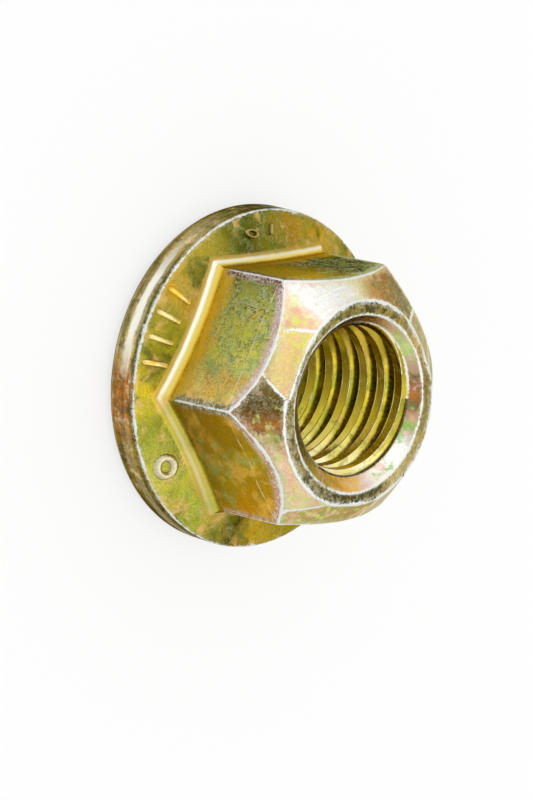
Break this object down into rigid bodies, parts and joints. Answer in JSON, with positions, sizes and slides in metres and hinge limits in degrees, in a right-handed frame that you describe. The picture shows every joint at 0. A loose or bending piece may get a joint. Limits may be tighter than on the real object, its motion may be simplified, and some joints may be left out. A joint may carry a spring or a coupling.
{
  "type": "flange nut",
  "caption": "Hexagon nut with a round sloping flange, a chamfered crown with pressed locking facets and a threaded through hole.",
  "frame": {"origin": "centre of the bearing face, where the thread axis meets it", "axes": "+Z along the thread axis, from the bearing face to the crown; two corners of the hexagon lie on X"},
  "size_m": [0.0211, 0.021, 0.0113],
  "materials": {
    "yellow_zinc_steel": "forged steel with yellow iridescent zinc plating, worn to silver on the edges"
  },
  "bodies": {
    "root": {"flange_nut": "yellow_zinc_steel"}
  },
  "joints": []
}
